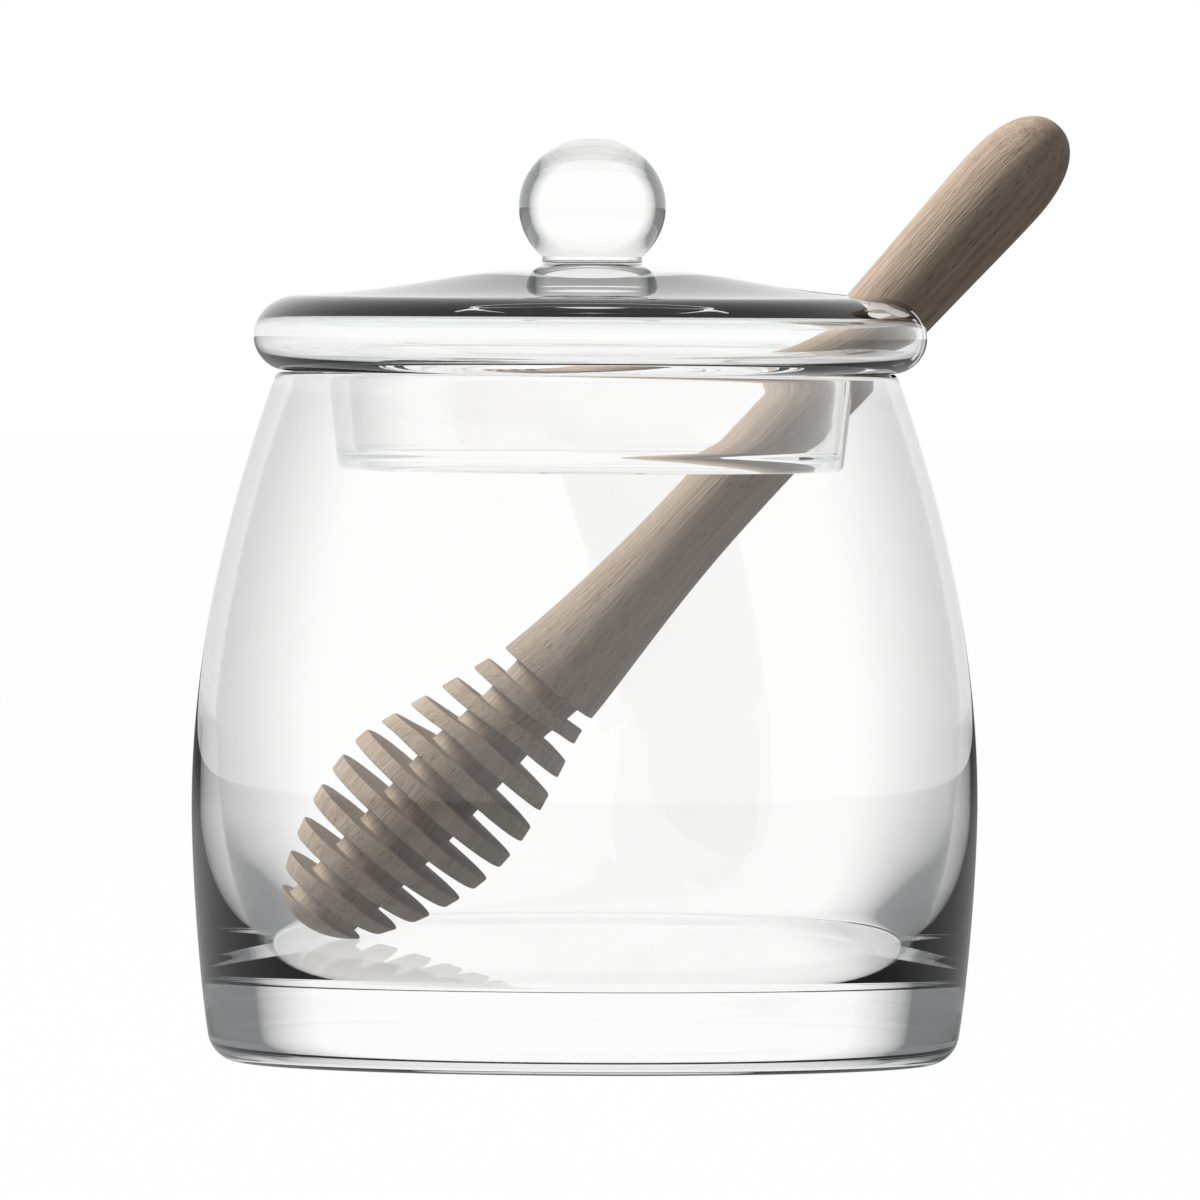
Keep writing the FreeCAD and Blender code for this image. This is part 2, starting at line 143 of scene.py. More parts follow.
class LidSizes(bpy.types.PropertyGroup):
    shift: length("Shift", "How far the loose lid lies off axis", 0.6)
    seat_gap: length("Seat gap", "Lid to rim", 0.1)
    flange_overhang: length("Flange overhang", "Flange beyond the pot's rim", 3.4)
    flange_height: length("Flange height", "Underside to shoulder", 9.8)
    roll_width: length("Roll width", "How far in the flange's rounded edge reaches", 6.0)
    roll_drop: length("Roll drop", "Shoulder to the widest line of that edge", 5.2)
    edge_wall: length("Edge wall", "Blown wall at the flange's edge", 1.5)
    pocket_rounding: length("Pocket rounding", "Rounded end of the flange's hollow", 2.3)
    top_wall: length("Top wall", "Wall of the top at the shoulder", 2.6)
    under_wall: length("Under wall", "Wall of the flange's underside", 2.0)
    crown_wall: length("Crown wall", "Wall under the knob", 5.5)
    dome_height: length("Dome height", "Underside to the foot of the knob", 14.0)
    skirt_play: length("Skirt play", "Mouth to the skirt that drops into it", 4.2)
    skirt_depth: length("Skirt depth", "Underside to the skirt's lower edge", 12.9)
    skirt_taper: length("Skirt taper", "How much the skirt narrows downwards", 1.1)
    skirt_wall: length("Skirt wall", "Wall of the skirt", 2.4)
    skirt_fillet: length("Skirt fillet", "Rounding between skirt and flange", 1.3)
    bead_height: length("Bead height", "Thickened lower edge of the skirt", 2.8)
    bead_swell: length("Bead swell", "How far that bead stands inwards", 0.45)
    knob_radius: length("Knob radius", "Widest radius of the knob", 9.5)
    knob_half_height: length("Knob half height", "Middle of the knob to its top", 8.85)
    neck_radius: length("Neck radius", "Radius of the knob's neck", 6.45)
    neck_fillet: length("Neck fillet", "Rounding at the foot of the neck", 0.45)
    slot_clearance: length("Slot clearance", "Lid's slot to the dipper's handle", 0.6)


class DipperSizes(bpy.types.PropertyGroup):
    handle_length: length("Handle length", "Handle's end to the first groove", 98.0)
    grip_radius: length("Grip radius", "Thickest part of the handle", 6.05)
    grip_station: length("Grip station", "Its distance from the handle's end", 10.7)
    waist_radius: length("Waist radius", "Thinnest part of the handle", 5.06)
    waist_station: length("Waist station", "Its distance from the handle's end", 66.0)
    collar_radius: length("Collar radius", "Handle where the head begins", 7.55)
    collar_flare: angle("Collar flare", "How far the collar opens", 9.6)
    disc_count: IntProperty(name="Discs", description="Number of discs on the head", default=9,
                            min=1)
    disc_thickness: length("Disc thickness", "Thickness of each disc", 2.3)
    groove_width: length("Groove width", "Gap between two discs", 2.35)
    core_radius: length("Core radius", "Bottom of the grooves", 5.25)
    head_radius: length("Head radius", "Widest disc", 12.65)
    tip_radius: length("Tip radius", "Foot of the rounded tip", 6.85)
    tip_height: length("Tip height", "Height of the rounded tip", 3.0)
    tip_reach: length("Tip reach", "Middle of the tip's curve, left of the pot's axis", 30.3)
    rest_gap: length("Rest gap", "Dipper to the floor and to the rim", 0.15)
    corner: length("Corner", "Worn edge of each disc", 0.3)


class Finishes(bpy.types.PropertyGroup):
    glass: colour("Glass", "Tint of the clear glass", (0.998, 0.998, 0.996))
    # Painted shade: near-black colour of glass walls seen edge on, standing in for dark
    # surroundings seen through the glass; the glass itself has no such tint.
    glass_edge_shade: colour("Glass edge", "Tint where a wall is seen edge on", (0.05, 0.052, 0.055))
    wood_light: colour("Wood, light", "Early wood of the oak", (0.61, 0.49, 0.39))
    wood_dark: colour("Wood, dark", "Late wood of the oak", (0.27, 0.195, 0.14))
    wood_pore: colour("Wood, pores", "Open pores of the oak", (0.10, 0.055, 0.035))
    floor: colour("Floor", "Studio floor", (0.25, 0.25, 0.25))


# ---- outlines: each stretch ends with the number of parts it is divided into -----
def on_bezier(poles, t, axis):
    """One coordinate of a smooth stretch with four poles."""
    weights = ((1 - t) ** 3, 3 * (1 - t) ** 2 * t, 3 * (1 - t) * t ** 2, t ** 3)
    return sum(w * pole[axis] for w, pole in zip(weights, poles))


def bezier(poles, steps):
    """Points of a smooth stretch, its first pole left out."""
    return [tuple(on_bezier(poles, step / steps, axis) for axis in (0, 1))
            for step in range(1, steps + 1)]


def on_circle(centre, radius, degrees):
    turn = math.radians(degrees)
    return (centre[0] + radius * math.cos(turn), centre[1] + radius * math.sin(turn))


def round_stretch(centre, radius, start, end, steps):
    """Points of an arc between two angles in degrees, its first point left out."""
    return [on_circle(centre, radius, start + (end - start) * step / steps)
            for step in range(1, steps + 1)]


def straight(start, end, steps):
    """Points of a straight stretch, its first point left out."""
    return [tuple(start[axis] + (end[axis] - start[axis]) * step / steps for axis in (0, 1))
            for step in range(1, steps + 1)]


def lean(start, turn, reach):
    """The pole that lies reach away from start, turn radians off vertical."""
    return (start[0] + reach * math.sin(turn), start[1] + reach * math.cos(turn))


def bezier_value(poles, station):
    """Second coordinate of a rising stretch where its first is station."""
    low, high = 0.0, 1.0
    for _ in range(HALVINGS):
        t = (low + high) / 2
        if on_bezier(poles, t, 0) < station:
            low = t
        else:
            high = t
    return on_bezier(poles, t, 1)


def with_round_corners(outline, radius, steps):
    """The outline with each inner point replaced by a small round stretch."""
    rounded = [outline[0]]
    for before, corner, after in zip(outline, outline[1:], outline[2:]):
        corner_v = Vector(corner)
        back, ahead = Vector(before) - corner_v, Vector(after) - corner_v
        cut = min(radius, back.length / CORNER_SHARE, ahead.length / CORNER_SHARE)
        start, end = corner_v + back.normalized() * cut, corner_v + ahead.normalized() * cut
        rounded.append(tuple(start))
        for step in range(1, steps):
            t = step / steps
            rounded.append(tuple((1 - t) ** 2 * start + 2 * (1 - t) * t * corner_v + t ** 2 * end))
        rounded.append(tuple(end))
    return rounded + [outline[-1]]


# ---- meshes ---------------------------------------------------------------------
def spin_outline(bm, outline, steps, tagged=0, layer=None):
    """Sweeps a half outline round the Z axis; the last tagged points are marked in the layer."""
    verts = [bm.verts.new((radius, 0, height)) for radius, height in outline]
    edges = [bm.edges.new(pair) for pair in zip(verts, verts[1:])]
    for vert in verts[len(verts) - tagged:]:
        vert[layer] = 1
    bmesh.ops.spin(bm, geom=verts + edges, cent=(0, 0, 0), axis=(0, 0, 1), angle=2 * math.pi,
                   steps=steps, use_merge=True)


def mesh_from(bm, name):
    """Writes a bmesh to a new mesh and frees it."""
    mesh = bpy.data.meshes.new(name)
    bm.to_mesh(mesh)
    bm.free()
    return mesh


def linked(name, data):
    """A new object of the scene."""
    made = bpy.data.objects.new(name, data)
    bpy.context.scene.collection.objects.link(made)
    return made


def finished(bm, name, material, smooth_angle):
    """Closes and orients a bmesh and makes it an object of the part."""
    bmesh.ops.remove_doubles(bm, verts=bm.verts, dist=MERGE_DISTANCE)
    bmesh.ops.recalc_face_normals(bm, faces=bm.faces)
    return placed(mesh_from(bm, name), name, material, smooth_angle)


def placed(mesh, name, material, smooth_angle):
    """Shades a mesh smooth up to an angle and makes it an object with one material."""
    for polygon in mesh.polygons:
        polygon.use_smooth = True
    mesh.set_sharp_from_angle(angle=math.radians(smooth_angle))
    mesh.materials.clear()
    mesh.materials.append(material)
    return linked(name, mesh)


# ---- pot ------------------------------------------------------------------------
def mouth_radius(sizes):
    return sizes.rim_radius - sizes.upper_wall


def inner_lip(sizes):
    return (mouth_radius(sizes) + sizes.lip_radius, sizes.rim_height - sizes.lip_radius)


def pot_outside(sizes):
    """Half outline of the pot's outer form, from the middle of its foot to the rim's crest."""
    heel = (sizes.base_radius, sizes.heel_radius)
    heel_top = on_circle(heel, sizes.heel_radius, -math.degrees(sizes.heel_lean))
    belly = (sizes.belly_radius, sizes.belly_height)
    shoulder = math.degrees(sizes.shoulder_lean)
    lip = (sizes.rim_radius - sizes.lip_radius * math.cos(sizes.shoulder_lean),
           sizes.rim_height - sizes.lip_radius)
    wall_top = on_circle(lip, sizes.lip_radius, shoulder)
    lower_reach = HEEL_PULL * (sizes.belly_height - sizes.heel_radius)
    upper_reach = SHOULDER_PULL * (sizes.rim_height - sizes.belly_height)
    rim_pole = lean(wall_top, math.pi - sizes.shoulder_lean, RIM_DRAW * upper_reach)
    outline = [(0, 0)]
    outline += straight((0, 0), (sizes.base_radius, 0), 12)
    outline += round_stretch(heel, sizes.heel_radius, -90, -math.degrees(sizes.heel_lean), 16)
    outline += bezier([heel_top, lean(heel_top, sizes.heel_lean, lower_reach),
                       (belly[0], belly[1] - lower_reach), belly], 28)
    outline += bezier([belly, (belly[0], belly[1] + upper_reach), rim_pole, wall_top], 44)
    outline += round_stretch(lip, sizes.lip_radius, shoulder, 90, 8)
    return outline


def pot_inside(sizes):
    """Half outline of the blown cavity, from the middle of its floor to the rim's crest."""
    lip = inner_lip(sizes)
    bore = (sizes.belly_radius - sizes.belly_wall, sizes.bore_height)
    wall_top = on_circle(lip, sizes.lip_radius, 180 + math.degrees(sizes.mouth_lean))
    sweep = sizes.bore_height - sizes.floor_thickness
    shoulder = sizes.rim_height - sizes.bore_height
    flat = (sizes.floor_flat, sizes.floor_thickness)
    corner = (flat[0], flat[1] + sizes.corner_radius)
    foot = on_circle(corner, sizes.corner_radius, -math.degrees(sizes.corner_lean))
    outline = [(0, sizes.floor_thickness)]
    outline += straight(outline[0], flat, 12)
    outline += round_stretch(corner, sizes.corner_radius, -90, -math.degrees(sizes.corner_lean), 8)
    mouth_pole = lean(wall_top, math.pi - sizes.mouth_lean, MOUTH_PULL * shoulder)
    outline += bezier([foot, lean(foot, sizes.corner_lean, CORNER_PULL * sweep),
                       (bore[0], bore[1] - LOWER_BORE_PULL * sweep), bore], 44)
    outline += bezier([bore, (bore[0], bore[1] + UPPER_BORE_PULL * shoulder), mouth_pole,
                       wall_top], 36)
    outline += round_stretch(lip, sizes.lip_radius, 180 + math.degrees(sizes.mouth_lean), 90, 8)
    return outline


def build_pot(sizes, material):
    """Turns both outlines as one closed skin and shifts the blown side off axis."""
    bm = bmesh.new()
    inside = pot_inside(sizes)
    blown = bm.verts.layers.int.new("blown")
    spin_outline(bm, pot_outside(sizes) + inside[::-1], ROUND_STEPS, len(inside), blown)
    bmesh.ops.translate(bm, verts=[vert for vert in bm.verts if vert[blown]],
                        vec=(sizes.cavity_drift, 0, 0))
    bm.verts.layers.int.remove(blown)
    return finished(bm, "pot_glass", material, POT_SHARP)


# ---- dipper ---------------------------------------------------------------------
def tip_curve(sizes):
    """Radius of the rounded tip."""
    return (sizes.tip_radius ** 2 + sizes.tip_height ** 2) / (2 * sizes.tip_height)


def head_length(sizes):
    return sizes.disc_count * (sizes.disc_thickness + sizes.groove_width) + sizes.groove_width


def dipper_length(sizes):
    return sizes.handle_length + head_length(sizes) + sizes.tip_height


def shaft(sizes):
    """Poles of the handle from grip to waist, as distance from its end and radius."""
    run = sizes.waist_station - sizes.grip_station
    return [(sizes.grip_station, sizes.grip_radius),
            (sizes.grip_station + GRIP_PULL * run, sizes.grip_radius),
            (sizes.waist_station - WAIST_PULL * run, sizes.waist_radius),
            (sizes.waist_station, sizes.waist_radius)]


def head_radius(sizes, station):
    """Radius of the head's outline at a distance from the collar."""
    whole = head_length(sizes)
    crest = HEAD_CREST * whole
    if station < crest:
        swell = sizes.head_radius - sizes.collar_radius
        return bezier_value([(0, sizes.collar_radius),
                             (crest / 3, sizes.collar_radius + HEAD_SWELL * swell),
                             (crest * 2 / 3, sizes.head_radius),
                             (crest, sizes.head_radius)], station)
    fall = whole - crest
    flank = sizes.tip_radius + HEAD_FALL[2] * (sizes.head_radius - sizes.tip_radius)
    return bezier_value([(crest, sizes.head_radius),
                         (crest + HEAD_FALL[0] * fall, sizes.head_radius),
                         (crest + HEAD_FALL[1] * fall, flank), (whole, sizes.tip_radius)], station)


def head_outline(sizes):
    """Discs and grooves, from the collar to the foot of the tip, with worn corners."""
    start = sizes.handle_length
    corners = [(sizes.collar_radius - COLLAR_RUN[0], start - COLLAR_RUN[1]),
               (sizes.collar_radius, start)]
    for disc in range(sizes.disc_count):
        top = disc * (sizes.disc_thickness + sizes.groove_width) + sizes.groove_width
        foot = top + sizes.disc_thickness
        corners += [(sizes.core_radius, corners[-1][1]), (sizes.core_radius, start + top),
                    (head_radius(sizes, top), start + top),
                    (head_radius(sizes, foot), start + foot)]
    tip_foot = start + head_length(sizes)
    corners += [(sizes.core_radius, corners[-1][1]), (sizes.core_radius, tip_foot),
                (sizes.tip_radius, tip_foot),
                (sizes.tip_radius * TIP_EDGE[0], tip_foot + TIP_EDGE[1])]
    return with_round_corners(corners, sizes.corner, CORNER_STEPS)[1:-1]


def dipper_outline(sizes):
    """Half outline of the dipper, from the handle's end down to the tip."""
    grip = (sizes.grip_radius, sizes.grip_station)
    collar = (sizes.collar_radius, sizes.handle_length)
    flare = sizes.handle_length - sizes.waist_station
    waist = (sizes.waist_radius, sizes.waist_station)
    whole = dipper_length(sizes)
    curve_radius = tip_curve(sizes)
    outline = [(0, 0)]
    outline += bezier([(0, 0), (END_PULL[0] * grip[0], 0), (grip[0], END_PULL[1] * grip[1]),
                       grip], 20)
    outline += bezier([(radius, station) for station, radius in shaft(sizes)], 24)
    collar_pole = lean(collar, math.pi + sizes.collar_flare, FLARE_PULL[1] * flare)
    outline += bezier([waist, (waist[0], waist[1] + FLARE_PULL[0] * flare), collar_pole,
                       collar], 20)[:-1]
    outline += head_outline(sizes)
    start = math.degrees(math.acos(sizes.tip_radius / curve_radius))
    outline += round_stretch((0, whole - curve_radius), curve_radius, start + TIP_BEGIN, 90, 10)
    return outline


def dipper_place(pot, sizes):
    """Tip's middle, tilt and matrix of the dipper: tip on the floor, handle on the rim."""
    tip = (-sizes.tip_reach, pot.floor_thickness + tip_curve(sizes) + sizes.rest_gap)
    lip = inner_lip(pot)
    across, up = lip[0] + pot.cavity_drift - tip[0], lip[1] - tip[1]
    span = math.hypot(across, up)
    to_tip = dipper_length(sizes) - tip_curve(sizes)
    radius = sizes.grip_radius
    for _ in range(REST_PASSES):
        offset = radius + pot.lip_radius + sizes.rest_gap
        radius = bezier_value(shaft(sizes), to_tip - math.sqrt(span ** 2 - offset ** 2))
    tilt = math.atan2(up, across) + math.asin(offset / span)
    matrix = (Matrix.Translation((tip[0], 0, tip[1]))
              @ Matrix.Rotation(1.5 * math.pi - tilt, 4, "Y")
              @ Matrix.Translation((0, 0, -to_tip)))
    return tip, tilt, matrix


def build_dipper(pot, sizes, material):
    """Turns the dipper upright and lays it into its place."""
    bm = bmesh.new()
    spin_outline(bm, dipper_outline(sizes), DIPPER_STEPS)
    bmesh.ops.transform(bm, matrix=dipper_place(pot, sizes)[2], verts=bm.verts)
    return finished(bm, "dipper_wood", material, DIPPER_SHARP)


# ---- lid ------------------------------------------------------------------------
def lid_outline(pot, sizes):
    """Closed half outline of the lid: knob, dome, flange, skirt, hollow and ceiling."""
    flange_radius = pot.rim_radius + sizes.flange_overhang
    shoulder = (flange_radius - sizes.roll_width, sizes.flange_height)
    edge = (flange_radius, sizes.flange_height - sizes.roll_drop)
    skirt_radius = mouth_radius(pot) - sizes.skirt_play
    neck = math.asin(sizes.neck_radius / sizes.knob_radius)
    knob_level = (sizes.dome_height + sizes.neck_fillet
                  + sizes.knob_half_height * (NECK_RUN + math.cos(neck)))
    top = (0, knob_level + sizes.knob_half_height)
    side = (sizes.knob_radius, knob_level)
    foot = (sizes.neck_radius, knob_level - sizes.knob_half_height * math.cos(neck))
    sweep = 4 / 3 * math.tan((math.pi / 2 - neck) / 4)  # keeps the knob's lower half round
    foot_pole = (foot[0] + sweep * sizes.knob_radius * math.cos(neck),
                 foot[1] + sweep * sizes.knob_half_height * math.sin(neck))
    neck_bend = (sizes.neck_radius + sizes.neck_fillet, sizes.dome_height + sizes.neck_fillet)
    outline = [top]
    outline += bezier([top, (QUARTER * side[0], top[1]),
                       (side[0], side[1] + QUARTER * sizes.knob_half_height), side], 24)
    outline += bezier([side, (side[0], side[1] - sweep * sizes.knob_half_height), foot_pole,
                       foot], 14)
    outline += straight(foot, (foot[0], neck_bend[1]), 2)
    outline += round_stretch(neck_bend, sizes.neck_fillet, 180, 270, 6)
    dome_foot = (neck_bend[0], sizes.dome_height)
    run = shoulder[0] - dome_foot[0]
    outline += bezier([dome_foot, (dome_foot[0] + DOME_PULL[0] * run, dome_foot[1] - DOME_SAG[0]),
                       (shoulder[0] - DOME_PULL[1] * run, shoulder[1] + DOME_SAG[1]), shoulder], 28)
    outline += bezier([shoulder, (shoulder[0] + QUARTER * sizes.roll_width, shoulder[1]),
                       (edge[0], edge[1] + QUARTER * sizes.roll_drop), edge], 18)
    underside = (edge[0] - edge[1], 0)
    outline += bezier([edge, (edge[0], (1 - QUARTER) * edge[1]),
                       (edge[0] - (1 - QUARTER) * edge[1], 0), underside], 16)
    fillet = (skirt_radius + sizes.skirt_fillet, -sizes.skirt_fillet)
    outline += straight(underside, (fillet[0], 0), 2)
    outline += round_stretch(fillet, sizes.skirt_fillet, 90, 180, 8)
    tip = (skirt_radius - sizes.skirt_taper, sizes.skirt_wall / 2 - sizes.skirt_depth)
    outline += straight((skirt_radius, fillet[1]), tip, 8)
    outline += round_stretch((tip[0] - sizes.skirt_wall / 2, tip[1]), sizes.skirt_wall / 2,
                             0, -90, 8)
    foot_radius = tip[0] - sizes.skirt_wall
    bead = (foot_radius - sizes.bead_swell, tip[1])
    bead_top = (foot_radius + BEAD_EASE[0], sizes.bead_height - sizes.skirt_depth)
    bottom = outline[-1]
    outline += bezier([bottom, (bead[0] + BEAD_PULL[0] * sizes.skirt_wall, bottom[1]),
                       (bead[0], bead[1] - BEAD_PULL[1] * sizes.skirt_wall), bead], 8)
    outline += bezier([bead, (bead[0], bead[1] + BEAD_RUN[0] * sizes.bead_height),
                       (bead_top[0] - BEAD_EASE[1], bead_top[1] - BEAD_RUN[1] * sizes.bead_height),
                       bead_top], 8)
    turn = sizes.under_wall + sizes.skirt_fillet - WEB_EASE
    skirt_top = (skirt_radius - sizes.skirt_wall, sizes.under_wall - turn)
    outline += straight(bead_top, skirt_top, 6)
    outline += round_stretch((skirt_top[0] + turn, skirt_top[1]), turn, 180, 90, 10)
    pocket_edge = (flange_radius - sizes.edge_wall, edge[1])
    pocket_foot = (pocket_edge[0] - sizes.pocket_rounding, sizes.under_wall)
    ceiling = (pocket_foot[0], sizes.flange_height - sizes.top_wall)
    crown = (0, sizes.dome_height - sizes.crown_wall)
    outline += straight(outline[-1], pocket_foot, 2)
    outline += bezier([pocket_foot,
                       (pocket_foot[0] + QUARTER * sizes.pocket_rounding, pocket_foot[1]),
                       (pocket_edge[0], edge[1] - QUARTER * (edge[1] - sizes.under_wall)),
                       pocket_edge], 12)
    outline += bezier([pocket_edge, (pocket_edge[0], edge[1] + QUARTER * (ceiling[1] - edge[1])),
                       (ceiling[0] + QUARTER * sizes.pocket_rounding, ceiling[1]), ceiling], 12)
    outline += bezier([ceiling, (CEILING_PULL[0] * shoulder[0], ceiling[1] + CEILING_LIFT),
                       (CEILING_PULL[1] * shoulder[0], crown[1]), crown], 30)
    return outline


def slot_cutter(middle, half_width, reach, low, high):
    """U-shaped block that cuts the slot for the leaning handle."""
    bm = bmesh.new()
    first = bm.verts.new((0, -half_width, low))
    arc = bmesh.ops.spin(bm, geom=[first], cent=(0, 0, low), axis=(0, 0, -1), angle=math.pi,
                         steps=SLOT_STEPS)
    last = [item for item in arc["geom_last"] if isinstance(item, bmesh.types.BMVert)][0]
    ends = bmesh.ops.extrude_vert_indiv(bm, verts=[first, last])["verts"]
    bmesh.ops.translate(bm, verts=ends, vec=(reach, 0, 0))
    bm.edges.new(ends)
    face = bmesh.ops.contextual_create(bm, geom=bm.edges[:])["faces"]
    walls = bmesh.ops.extrude_face_region(bm, geom=face)["geom"]
    bmesh.ops.translate(bm, verts=[item for item in walls if isinstance(item, bmesh.types.BMVert)],
                        vec=(0, 0, high - low))
    bmesh.ops.translate(bm, verts=bm.verts, vec=(middle, 0, 0))
    bmesh.ops.recalc_face_normals(bm, faces=bm.faces)
    return linked("slot_cutter", mesh_from(bm, "slot_cutter"))


def build_lid(pot, dipper, sizes, material):
    """Turns the lid and cuts the slot where the leaning handle passes."""
    level = pot.rim_height + sizes.seat_gap
    bm = bmesh.new()
    spin_outline(bm, lid_outline(pot, sizes), ROUND_STEPS)
    bmesh.ops.translate(bm, verts=bm.verts, vec=(sizes.shift, 0, level))
    whole = finished(bm, "lid_whole", material, ALL_SMOOTH)
    tip, tilt, _ = dipper_place(pot, dipper)
    along = (level - tip[1]) / math.sin(tilt)
    middle = tip[0] + along * math.cos(tilt)
    handle = bezier_value(shaft(dipper), dipper_length(dipper) - tip_curve(dipper) - along)
    cutter = slot_cutter(middle, handle + sizes.slot_clearance, pot.belly_radius,
                         level - SLOT_EXCESS * sizes.skirt_depth,
                         level + SLOT_EXCESS * sizes.flange_height)
    cut = whole.modifiers.new("Slot", "BOOLEAN")
    cut.object, cut.operation, cut.solver = cutter, "DIFFERENCE", "EXACT"
    graph = bpy.context.evaluated_depsgraph_get()
    mesh = bpy.data.meshes.new_from_object(whole.evaluated_get(graph))
    mesh.name = "lid_glass"
    bpy.data.objects.remove(cutter)
    bpy.data.objects.remove(whole)
    return placed(mesh, "lid_glass", material, LID_SHARP)


# ---- materials ------------------------------------------------------------------
# Painted shade: where a glass wall is seen edge on, its colour turns near black, standing in for
# the dark surroundings seen through the glass.
EDGE_SHADE_START = 0.3             # facing at which the painted edge shade begins
EDGE_SHADE_GAIN = 3.5              # painted edge shade when seen fully edge on, at strength 1
EDGE_SHADE_STRENGTHS = ((0, 1.0), (14, 1.0), (24, 0.42), (33, 0.24), (86, 0.2), (90, 0.06),
                  (102, 0.06), (106, 1.0), (118, 1.0))  # height in mm, strength of the painted edge shade
UPRIGHT = (0.45, 0.85)       # how far a normal points up on a wall, and on a level face
GLASS_BEND = 1.52            # index of refraction
LAMP_SHARE = (0.93, 0.94, 0.94, 1)   # light of a lamp that passes each skin of the glass
LAST_BEND = 7.5              # bounces after which light runs straight on through the glass

# pattern, stretch across and along the axis, detail, share of the wood's tone
FIBRES = (("growth", (420, 420, 11), 2.0, 0.3), ("streak", (1800, 1800, 45), 3.0, 0.35),
          ("hair", (5200, 5200, 160), 2.0, 0.35))
FIBRE_SPAN = (0.33, 0.67)    # part of a pattern's range that goes from dark to light
PORE_STRETCH = (2700, 2700, 300)
PORE_EDGE = (0.12, 0.24)     # distance from a pore's middle where it begins and ends to fade
PORE_BANDS = (0.35, 0.6, 0.85, 0.1)  # growth that has many and few pores, and their depth there
NOISE_ROUGHNESS = 0.6
WOOD_ROUGHNESS = 0.6
RAISED_FIBRES = (0.5, 0.15 * MM)     # strength and height

FILL_LEVEL = 0.03            # world on matt things
MIRROR_LEVEL = 0.9           # world in the glass's outer reflections
MIRROR_SIDES = 0.12          # the same towards the dark flags at the left and right
FLAGS = (0.3, 0.8)           # how far sideways the flags begin, and are fully dark
MIRROR_RISE = (0.1, 0.5)     # how far up the flags begin to end, and have ended
MIRROR_FLOOR = 0.1           # how far outer reflections see the floor as white
OVERHEAD = (0.3, 0.95, 1.0, 0.7)     # through glass, the world from level to overhead
FIRST_BOUNCE = 1.5           # between the first bounce and the second
GLOW_SHARE = 0.99            # how far the floor shows as plain white


def feed(tree, socket, source):
    """Gives a socket a number or colour, or links another node's output to it."""
    if isinstance(source, bpy.types.NodeSocket):
        tree.links.new(source, socket)
    else:
        socket.default_value = source


def node(tree, kind, place, **values):
    """A new node; values set its sockets by name."""
    made = tree.nodes.new(kind)
    made.location = place
    for name, value in values.items():
        made.inputs[name.replace("_", " ")].default_value = value
    return made


def maths(tree, place, operation, *terms, clamp=False):
    """A sum on numbers or other nodes' outputs."""
    made = node(tree, "ShaderNodeMath", place)
    made.operation = operation
    made.use_clamp = clamp
    for socket, term in zip(made.inputs, terms):
        feed(tree, socket, term)
    return made.outputs[0]


def map_range(tree, place, source, spans):
    """Stretches a value from one span to another."""
    made = node(tree, "ShaderNodeMapRange", place)
    for name, value in zip(("From Min", "From Max", "To Min", "To Max"), spans):
        made.inputs[name].default_value = value
    tree.links.new(source, made.inputs["Value"])
    return made.outputs["Result"]


def blend(tree, place, kind, factor, first, second):
    """The first value or colour where the factor is 0, and the second where it is 1."""
    made = tree.nodes.new("ShaderNodeMix")
    made.data_type = kind
    made.location = place
    for name, source in (("Factor", factor), ("A", first), ("B", second)):
        feed(tree, made.inputs[name], source)
    return made.outputs["Result"]


def fresh_material(name):
    material = bpy.data.materials.new(name)
    material.use_nodes = True
    material.node_tree.nodes.clear()
    return material, material.node_tree


def mixed_surface(tree, factor, first, second):
    """Mixes two shaders into the material's surface."""
    mix = node(tree, "ShaderNodeMixShader", (200, 100))
    tree.links.new(factor, mix.inputs["Fac"])
    tree.links.new(first.outputs[0], mix.inputs[1])
    tree.links.new(second.outputs[0], mix.inputs[2])
    out = node(tree, "ShaderNodeOutputMaterial", (400, 100))
    tree.links.new(mix.outputs[0], out.inputs["Surface"])


def edge_shade_strength(tree):
    """How strong the painted edge shade is at each height: most in the foot and the knob."""
    coordinates = node(tree, "ShaderNodeTexCoord", (-1500, -100))
    split = node(tree, "ShaderNodeSeparateXYZ", (-1300, -100))
    tree.links.new(coordinates.outputs["Object"], split.inputs[0])
    whole = LID_BOX[1].z
    height = map_range(tree, (-1100, -100), split.outputs["Z"], (0.0, whole, 0.0, 1.0))
    strength = node(tree, "ShaderNodeValToRGB", (-900, -100))
    stops = strength.color_ramp.elements
    while len(stops) > 1:
        stops.remove(stops[-1])
    for index, (level, amount) in enumerate(EDGE_SHADE_STRENGTHS):
        stop = stops[0] if index == 0 else stops.new(level * MM / whole)
        stop.position = level * MM / whole
        stop.color = (amount, amount, amount, 1)
    tree.links.new(height, strength.inputs[0])
    return strength.outputs["Color"]


def shaded_wall_share(tree):
    """Where the painted edge shade may fall: 1 on walls and 0 on level faces."""
    geometry = node(tree, "ShaderNodeNewGeometry", (-1300, -400))
    slope = node(tree, "ShaderNodeSeparateXYZ", (-1100, -400))
    tree.links.new(geometry.outputs["Normal"], slope.inputs[0])
    level = maths(tree, (-900, -400), "ABSOLUTE", slope.outputs["Z"])
    return map_range(tree, (-700, -400), level, (*UPRIGHT, 1.0, 0.0))


